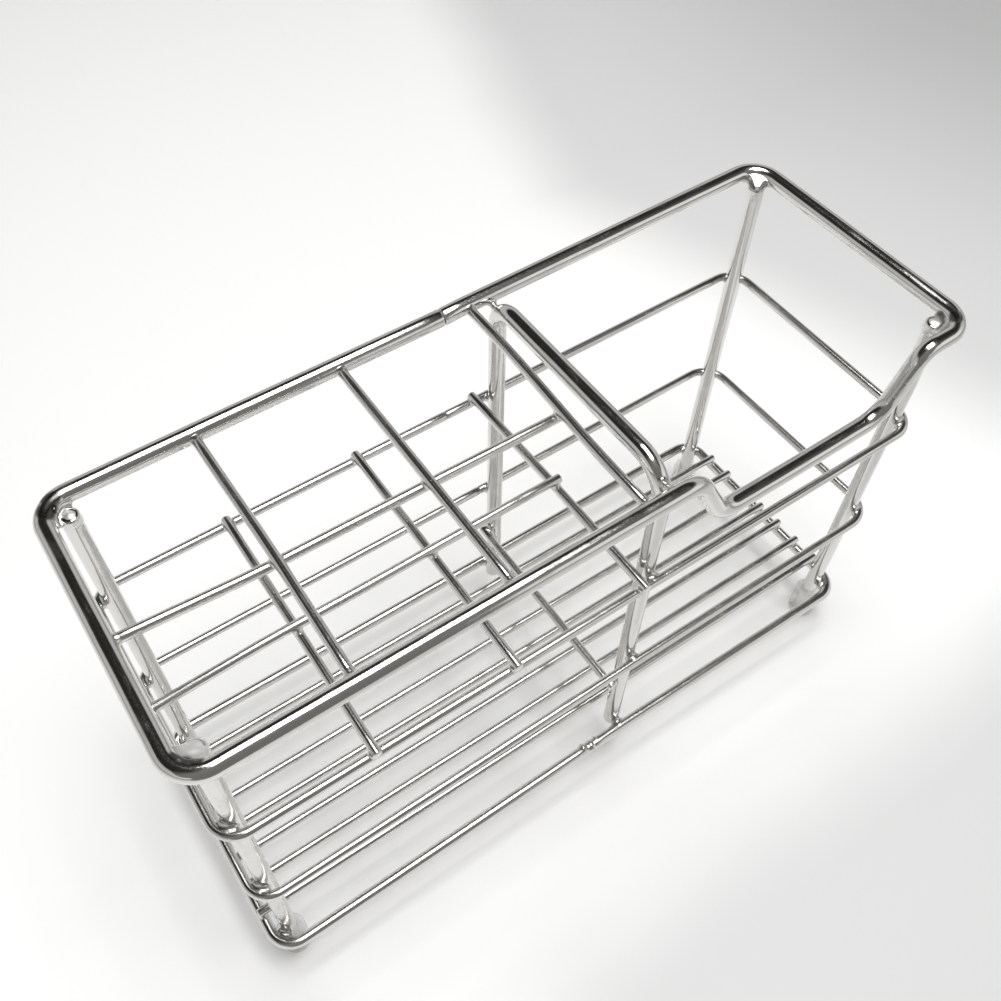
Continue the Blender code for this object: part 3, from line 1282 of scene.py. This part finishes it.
@dataclass
class FootCaps:
    """The four clear caps on the posts' feet."""

    caddy: Caddy
    play: float = 0.0002
    floor: float = 0.0016
    rim_radius: float = 0.0004
    sole_radius: float = 0.0008
    steps: int = 48
    quarter_steps: int = 4
    merge_distance: float = 0.000005
    edge_degrees: float = 50.0

    def build(self, material: bpy.types.Material) -> None:
        """Turn each cap about its post."""
        for corner in CORNERS:
            self._turn(f"foot_cap_{corner}", material)

    def _turn(self, node: str, material: bpy.types.Material) -> None:
        """Spin one cap's outline about its post's axis.

        Args:
            node: The name of the cap's node.
            material: Its finish.
        """
        low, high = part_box(node)
        centre = (low + high) / 2
        outer = (high.x - low.x) / 2
        bore = self.caddy.thick_diameter / 2 + self.play
        mesh = bmesh.new()
        outline = [(0.0, self.floor), (bore, self.floor), (bore, high.z - self.rim_radius / 2)]
        outline += self._quarter(outer - self.rim_radius, high.z - self.rim_radius, self.rim_radius, 90)
        outline += self._quarter(outer - self.sole_radius, low.z + self.sole_radius, self.sole_radius, 0)
        outline.append((0.0, low.z))
        verts = [mesh.verts.new((centre.x + radius, centre.y, height)) for radius, height in outline]
        edges = [mesh.edges.new(pair) for pair in zip(verts, verts[1:])]
        axis_foot = Vector((centre.x, centre.y, 0.0))
        options = {"cent": axis_foot, "axis": UP, "angle": math.tau, "steps": self.steps}
        bmesh.ops.spin(mesh, geom=verts + edges, use_merge=True, use_duplicate=False, **options)
        bmesh.ops.remove_doubles(mesh, verts=mesh.verts, dist=self.merge_distance)
        piece = settle(node + "_sleeve", mesh, material)
        piece.data.set_sharp_from_angle(angle=math.radians(self.edge_degrees))
        hand_over(piece, [node])

    def _quarter(self, radius: float, height: float, edge: float, start: float) -> list:
        """Draw a quarter round, turning clockwise.

        Args:
            radius: The distance of its centre from the cap's axis.
            height: The height of its centre.
            edge: Its own radius.
            start: The angle at which it starts, in degrees.

        Returns:
            Pairs of a distance from the axis and a height.
        """
        points = []
        for step in range(self.quarter_steps + 1):
            angle = math.radians(start - 90 * step / self.quarter_steps)
            points.append((radius + edge * math.cos(angle), height + edge * math.sin(angle)))
        return points


@dataclass(frozen=True)
class CornerShape:
    """The look of one corner's top weld.

    Each drop is given by its place outwards from the post's axis and above the rim's centre-line,
    and by its radii outwards, sideways and upwards. The face that a grinder left is given by the way it
    looks and by its height at the post's axis, above the rim's centre-line. Beads stand off that face.
    """

    fillet: float
    drops: tuple
    ground_way: Optional[tuple] = None
    ground_rise: float = 0.0
    beads: tuple = ()


CORNER_SHAPES = {
    "front_left": CornerShape(
        fillet=0.0022,
        drops=((0.0014, -0.0012, 0.0026, 0.0032, 0.0018), (-0.0002, -0.0016, 0.0022, 0.0025, 0.0017)),
    ),
    "front_right": CornerShape(
        fillet=0.0018,
        drops=((0.0024, -0.0010, 0.0018, 0.0022, 0.0014), (-0.0003, -0.0022, 0.0021, 0.0021, 0.0023)),
    ),
    "back_left": CornerShape(
        fillet=0.0010,
        drops=((0.0026, -0.0012, 0.0016, 0.0018, 0.0013), (-0.0003, -0.0022, 0.0021, 0.0021, 0.0023)),
        beads=((0.0026, 0.0006, 0.0010, 0.0010, 0.0010),),
    ),
    "back_right": CornerShape(
        fillet=0.0009,
        drops=(
            (0.0017, -0.0002, 0.0019, 0.0018, 0.0019),
            (0.0004, -0.0020, 0.0022, 0.0022, 0.0022),
            (-0.0010, -0.0034, 0.0013, 0.0013, 0.0028),
        ),
        ground_way=(-0.321, -0.321, 0.891),
        ground_rise=0.00005,
        beads=((0.0030, -0.0006, 0.0010, 0.0034, 0.0009),),
    ),
}


@dataclass
class CornerWelds:
    """The welds of one post to the rim's bend and to the three rings."""

    corner: str
    post: Rod
    rim: Rod
    rings: Sequence[Rod]
    shape: CornerShape
    grid: float = 0.00022
    bend_out: float = 0.0044
    bend_up: float = 0.12
    top_depth: float = 0.001
    top_passes: int = 6
    top_reach: float = 0.0060
    ring_passes: int = 4
    ring_fillet: float = 0.0007
    ring_drop: tuple = (0.0007, 0.0010, 0.0009)
    ring_reach: float = 0.0034

    def __post_init__(self) -> None:
        """Find the post's axis and the way outwards from it through the rim's bend."""
        self.axis = self.post.start
        signs = Vector((math.copysign(1, self.axis.x), math.copysign(1, self.axis.y), 0.0))
        self.outward = signs.normalized()
        self.turn = math.atan2(self.outward.y, self.outward.x)

    def build(self, material: bpy.types.Material) -> None:
        """Fill the inside of the bend, and run metal between the post and each ring.

        Args:
            material: Its finish.
        """
        shape = self.shape
        bend = self.rim.route.nearest(self.axis + self.outward * self.bend_out + UP * self.bend_up)
        facets = []
        if shape.ground_way is not None:
            middle = Vector((self.axis.x, self.axis.y, bend.z + shape.ground_rise))
            facets.append(Facet(middle, Vector(shape.ground_way).normalized()))
        drops = self._pools(shape.drops, bend.z)
        contact = self._contact(bend.z - self.top_depth)
        top = Weld(contact, (self.rim, self.post), drops, reach=self.top_reach)
        name = f"corner_weld_{self.corner}"
        WeldGroup(name, self.grid, self.top_passes, shape.fillet, [top], facets).build(material)
        low = [Weld(bend, (), self._pools(shape.beads, bend.z))]
        for ring in self.rings:
            contact = self._contact(ring.route.nearest(self._contact(ring.start.z)).z)
            drop = Pool(contact, self.ring_drop, self.turn)
            low.append(Weld(contact, (ring, self.post), (drop,), reach=self.ring_reach))
        name = f"ring_welds_{self.corner}"
        WeldGroup(name, self.grid, self.ring_passes, self.ring_fillet, low).build(material)

    def _pools(self, drops: Sequence[tuple], level: float) -> tuple:
        """Place drops of metal, turned to look outwards.

        Args:
            drops: The drops' places and radii, as in the corner's shape.
            level: The height of the rim's centre-line.

        Returns:
            The pools.
        """
        pools = []
        for along, rise, length, width, height in drops:
            centre = Vector((self.axis.x, self.axis.y, level + rise)) + self.outward * along
            pools.append(Pool(centre, (length, width, height), self.turn))
        return tuple(pools)

    def _contact(self, height: float) -> Vector:
        """The post's outer side at a height."""
        return Vector((self.axis.x, self.axis.y, height)) + self.outward * (self.post.diameter / 2)


@dataclass(frozen=True)
class Spot:
    """The size of a weld between two wires: the radius of its drop and its reach along each wire."""

    radius: float
    reach: float

    def join(self, first: Rod, second: Rod, near: Vector) -> Weld:
        """Weld two rods where they pass each other.

        Args:
            first: The one rod.
            second: The other rod.
            near: A place near the weld.

        Returns:
            The weld.
        """
        there = second.route.beside(first.route.beside(near))
        here = first.route.beside(there)
        place = here.lerp(there, first.diameter / (first.diameter + second.diameter))
        drop = Pool(place, (self.radius, self.radius, self.radius))
        return Weld(place, (first, second), (drop,), reach=self.reach)


@dataclass
class HoopWelds:
    """The welds of the hoop to the rim, the rings and its brace, and the butt weld of the base ring.

    Each bead of the butt weld is given by its place from the seam and its radii.
    """

    caddy: Caddy
    hoop: Rod
    brace: Rod
    rim: Rod
    rings: Sequence[Rod]
    grid: float = 0.0002
    passes: int = 4
    fillet: float = 0.0007
    spot: Spot = Spot(radius=0.0009, reach=0.0030)
    brace_spot: Spot = Spot(radius=0.0007, reach=0.0030)
    seam_reach: float = 0.0050
    beads: tuple = (
        ((0.0, 0.0, 0.0), (0.0016, 0.0018, 0.0018)),
        ((-0.0024, 0.0004, 0.0002), (0.0012, 0.0016, 0.0017)),
        ((0.0021, 0.0003, -0.0001), (0.0010, 0.0016, 0.0017)),
    )

    def build(self, material: bpy.types.Material) -> None:
        """Weld both legs and close the base ring's seam.

        Args:
            material: Its finish.
        """
        welds = []
        spots = [(rod, self.spot) for rod in (self.rim, *self.rings)] + [(self.brace, self.brace_spot)]
        for y in (self.caddy.front, self.caddy.back):
            for rod, spot in spots:
                welds.append(spot.join(self.hoop, rod, Vector((self.caddy.hoop_x, y, rod.start.z))))
        base = self.rings[-1]
        pools = tuple(Pool(base.start + Vector(shift), radii) for shift, radii in self.beads)
        welds.append(Weld(base.start, (base,), pools, reach=self.seam_reach))
        WeldGroup("hoop_welds", self.grid, self.passes, self.fillet, welds).build(material)


@dataclass
class BarWelds:
    """The welds of one group of thin bars."""

    name: str
    grid: float = 0.00018
    passes: int = 3
    fillet: float = 0.0005
    crossing: Spot = Spot(radius=0.0006, reach=0.0020)

    def __post_init__(self) -> None:
        """Start without a weld."""
        self.welds: list = []

    def add_row(
        self,
        bars: Sequence[Rod],
        carrier: Rod,
        spot: Spot,
        long_bar: Optional[Rod] = None,
        level: Optional[float] = None,
    ) -> None:
        """Weld a row of bars to their carrier and to the long bar, whose start is welded to it as well.

        Args:
            bars: The bars.
            carrier: The wire that carries both ends of each.
            spot: The size of the welds at the ends.
            long_bar: The long bar that they cross, if there is one.
            level: The height near which they cross it, where that isn't their own.
        """
        for bar in bars:
            self.welds.extend(spot.join(bar, carrier, end) for end in (bar.start, bar.end))
            if long_bar:
                height = bar.start.z if level is None else level
                near = Vector((bar.start.x, long_bar.start.y, height))
                self.welds.append(self.crossing.join(bar, long_bar, near))
        if long_bar:
            self.welds.append(spot.join(long_bar, carrier, long_bar.start))

    def build(self, material: bpy.types.Material) -> None:
        """Melt the group's welds."""
        WeldGroup(self.name, self.grid, self.passes, self.fillet, self.welds).build(material)


@dataclass
class Studio:
    """The pale table, the soft light and the camera. Each edge is where a mask starts and its width."""

    camera_place: tuple = (-0.0897717, -0.1143165, 0.2924371)
    camera_turn_degrees: tuple = (36.443268, 0.487886, -33.594331)
    lens: float = 38.1072769
    sensor: float = 36.0
    shift: tuple = (0.0319032, -0.0076777)
    clip_start: float = 0.01
    table_size: tuple = (3.0, 3.0, 0.01)
    strip_place: tuple = (0.085, -0.055, 1.0)
    strip_size: tuple = (0.41, 0.57)
    strip_watts: float = 6.8
    fill_place: tuple = (-0.25, 0.0, 1.2)
    fill_size: tuple = (1.2, 1.2)
    fill_watts: float = 5.1
    card_place: tuple = (-0.18, -0.40, 0.225)
    card_size: tuple = (0.54, 0.004, 0.45)
    card_tone: tuple = (0.20, 0.195, 0.19, 1.0)
    wall: tuple = (0.60, 0.60, 0.59, 1.0)
    wall_foot: tuple = (0.42, 0.42, 0.41, 1.0)
    camera_wall: tuple = (0.98, 0.98, 0.96, 1.0)
    ceiling: tuple = (0.020, 0.0195, 0.0185, 1.0)
    camera_ceiling: tuple = (0.22, 0.215, 0.21, 1.0)
    right_ceiling: tuple = (0.09, 0.088, 0.085, 1.0)
    camera_wall_edge: tuple = (0.05, 0.45)
    wall_foot_edge: tuple = (0.03, 0.08)
    camera_ceiling_edge: tuple = (0.0, 0.45)
    right_ceiling_edge: tuple = (0.35, 0.15)
    ceiling_edge: tuple = (0.46, 0.16)
    lowering: float = 0.33
    lowering_edge: tuple = (0.05, 0.40)
    lowering_right_edge: tuple = (0.15, 0.25)
    table_pale: tuple = (0.965, 0.965, 0.96, 1.0)
    # Painted shade on the table: its darker tones and the edges where they set in
    table_painted_shade: tuple = (0.70, 0.705, 0.70, 1.0)
    table_painted_deep_shade: tuple = (0.54, 0.545, 0.54, 1.0)
    table_roughness: float = 0.5
    table_gloss: float = 0.15
    cloud_scale: tuple = (9.0, 9.0, 9.0)
    cloud_shift: float = 0.02
    corner_line: float = 0.18
    corner_slope: float = 0.33
    painted_shade_edge: tuple = (0.125, 0.06)
    painted_deep_shade_edge: tuple = (0.18, 0.25)
    front_shade_edge: tuple = (0.060, 0.045)
    front_shade_side_edge: tuple = (-0.10, 0.08)

    def build(self) -> None:
        """Set up the camera, the lamps, the world and the table."""
        self._camera()
        self._world()
        self._lamp("strip", self.strip_place, self.strip_size, self.strip_watts, mirrored=True)
        self._lamp("fill", self.fill_place, self.fill_size, self.fill_watts, mirrored=False)
        self._table()
        self._card()
        bpy.context.scene.view_settings.view_transform = "Standard"

    def _camera(self) -> None:
        """The camera at the photograph's viewing angle."""
        data = bpy.data.cameras.new("camera")
        data.sensor_width = self.sensor
        data.lens = self.lens
        data.shift_x, data.shift_y = self.shift
        data.clip_start = self.clip_start
        made = bpy.data.objects.new("camera", data)
        made.location = self.camera_place
        made.rotation_euler = Euler([math.radians(angle) for angle in self.camera_turn_degrees])
        bpy.context.scene.collection.objects.link(made)
        bpy.context.scene.camera = made

    def _world(self) -> None:
        """A pale wall all round, brighter behind the camera, under a dark ceiling; white to the camera."""
        world = bpy.data.worlds.new("studio")
        world.use_nodes = True
        bpy.context.scene.world = world
        recipe = Recipe(world.node_tree)
        direction = recipe.node("ShaderNodeTexCoord", output="Generated")
        rise = recipe.part(direction, "Z")
        right = recipe.part(direction, "X")
        toward_camera = recipe.part(direction, "Y") * -1.0
        wall = recipe.blend(toward_camera.above(*self.camera_wall_edge), self.wall, self.camera_wall)
        wall = recipe.blend(rise.above(*self.wall_foot_edge), self.wall_foot, wall)
        near = recipe.blend(right.above(*self.right_ceiling_edge), self.camera_ceiling, self.right_ceiling)
        ceiling = recipe.blend(toward_camera.above(*self.camera_ceiling_edge), self.ceiling, near)
        not_right = 1.0 - right.above(*self.lowering_right_edge)
        near_left = toward_camera.above(*self.lowering_edge) * not_right
        room = recipe.blend((rise + near_left * self.lowering).above(*self.ceiling_edge), wall, ceiling)
        camera_ray = recipe.node("ShaderNodeLightPath", output="Is Camera Ray")
        sky = recipe.blend(camera_ray, room, WHITE)
        recipe.feed(world.node_tree.nodes["Background"].inputs["Color"], sky)

    def _lamp(
        self, name: str, place: Sequence[float], size: Sequence[float], watts: float, mirrored: bool
    ) -> None:
        """A flat lamp that faces straight down.

        Args:
            name: The lamp's name.
            place: Its centre.
            size: Its length and width.
            watts: Its power.
            mirrored: Whether the bright metal shows it.
        """
        data = bpy.data.lights.new(name, "AREA")
        data.shape = "RECTANGLE"
        data.size, data.size_y = size
        data.energy = watts
        made = bpy.data.objects.new(name, data)
        made.location = place
        made.visible_camera = False
        made.visible_glossy = mirrored
        made.visible_transmission = mirrored
        bpy.context.scene.collection.objects.link(made)

    @staticmethod
    def _slab(place: Sequence[float], size: Sequence[float], recipe: Recipe, name: str) -> bpy.types.Object:
        """Set a flat-shaded slab on the stage.

        Args:
            place: Its centre.
            size: Its length, depth and height.
            recipe: The recipe of its finish.
            name: Its name.

        Returns:
            The slab.
        """
        mesh = bmesh.new()
        shape = Matrix.Translation(place) @ Matrix.Diagonal((*size, 1.0))
        bmesh.ops.create_cube(mesh, size=1.0, matrix=shape)
        slab = settle(name, mesh, recipe.result)
        slab.data.shade_flat()
        return slab

    def _table(self) -> None:
        """The pale, slightly glossy table, with painted shade to the right and in front."""
        recipe = Recipe.material("table")
        place = recipe.place()
        x = recipe.part(place, "X")
        y = recipe.part(place, "Y")
        cloud = self.cloud_shift * recipe.noise(place, self.cloud_scale)
        off_line = recipe.node("ShaderNodeMath", {"operation": "ABSOLUTE"}, {0: y - self.corner_line})
        # Painted shade: the table is painted darker into the back right corner and in front
        into_shaded_corner = x - self.corner_slope * off_line + cloud
        painted_front_shade = (cloud - y).above(*self.front_shade_edge) * x.above(*self.front_shade_side_edge)
        tone = recipe.blend(into_shaded_corner.above(*self.painted_shade_edge), self.table_pale, self.table_painted_shade)
        tone = recipe.blend(into_shaded_corner.above(*self.painted_deep_shade_edge), tone, self.table_painted_deep_shade)
        tone = recipe.blend(painted_front_shade, tone, self.table_painted_shade)
        recipe.shade(Base_Color=tone, Roughness=self.table_roughness, Specular_IOR_Level=self.table_gloss)
        self._slab((0.0, 0.0, -self.table_size[2] / 2), self.table_size, recipe, "table")

    def _card(self) -> None:
        """A dark card in front on the left, which only the bright metal shows."""
        recipe = Recipe.material("card")
        recipe.shade(Base_Color=BLACK, Specular_IOR_Level=0.0, Roughness=1.0)
        recipe.shade(Emission_Color=self.card_tone, Emission_Strength=1.0)
        card = self._slab(self.card_place, self.card_size, recipe, "card")
        card.visible_camera = False
        card.visible_diffuse = False
        card.visible_transmission = False
        card.visible_shadow = False


# Pairs of a centre and a radius: where the corners are painted dark, as scorch and, at the front left
# corner, as a painted reflection of the dark ceiling; and where their welds are matt and painted paler as a
# painted sheen
SCORCH_AND_REFLECTION_PLACES = (
    ((-0.0930, 0.0302, 0.1272), 0.0024),
    ((-0.0915, 0.0325, 0.1272), 0.0022),
    ((0.0923, -0.0312, 0.1280), 0.0024),
    ((-0.0928, -0.0293, 0.1274), 0.0016),
    ((-0.0917, -0.0305, 0.1274), 0.0018),
    ((-0.0905, -0.0318, 0.1274), 0.0016),
)
# Post tops where the weld is matt and painted paler, a painted sheen
MATT_AND_SHEEN_PLACES = (
    ((-0.0890, 0.0280, 0.1250), 0.0034),
    ((-0.0890, -0.0280, 0.1255), 0.0040),
    ((0.0890, -0.0280, 0.1250), 0.0030),
)
RIM_SPOT = Spot(radius=0.0008, reach=0.0024)
RING_SPOT = Spot(radius=0.0007, reach=0.0020)


def main() -> None:
    """Build the caddy's sub-assemblies in order and report each piece."""
    logging.basicConfig(level=logging.INFO, format="%(message)s")
    steel = PolishedWire().make()
    drawn = PolishedWire(name="drawn_wire", sheen_roughness=0.18, smear_roughness=0.25).make()
    rim_steel = PolishedWire(name="rim_wire", scorch_and_reflection=SCORCH_AND_REFLECTION_PLACES).make()
    melt = WeldPool(scorch_and_reflection=SCORCH_AND_REFLECTION_PLACES, matt_and_painted_sheen=MATT_AND_SHEEN_PLACES).make()
    caddy = Caddy()
    rim = Rim(caddy).rod()
    hoop_parts = Hoop(caddy)
    hoop = hoop_parts.rod()
    brace = hoop_parts.brace()
    rings = Rings(caddy).rods()
    upper, _, base = rings
    posts = Posts(caddy).rods()
    dividers = Dividers(caddy)
    rim_bars = dividers.rim_bars()
    rim_long = dividers.rim_long_bar()
    shelf_bars = dividers.shelf_bars()
    shelf_long = dividers.shelf_long_bar()
    floor_bars = FloorBars(caddy).rods()
    rim.build(rim_steel)
    for rod in (hoop, *posts.values()):
        rod.build(steel)
    for rod in (brace, *rings, *rim_bars, rim_long, *shelf_bars, shelf_long, *floor_bars):
        rod.build(drawn)
    FootCaps(caddy).build(ClearCap().make())
    for corner, post in posts.items():
        CornerWelds(corner, post, rim, rings, CORNER_SHAPES[corner]).build(melt)
    HoopWelds(caddy, hoop, brace, rim, rings).build(melt)
    divider_welds = BarWelds("divider_welds")
    divider_welds.add_row(rim_bars, rim, RIM_SPOT, rim_long, caddy.rim_height)
    divider_welds.add_row(shelf_bars, upper, RING_SPOT, shelf_long)
    divider_welds.build(melt)
    floor_welds = BarWelds("floor_welds")
    floor_welds.add_row(floor_bars, base, RING_SPOT)
    floor_welds.build(melt)
    Studio().build()


if __name__ == "__main__":
    main()
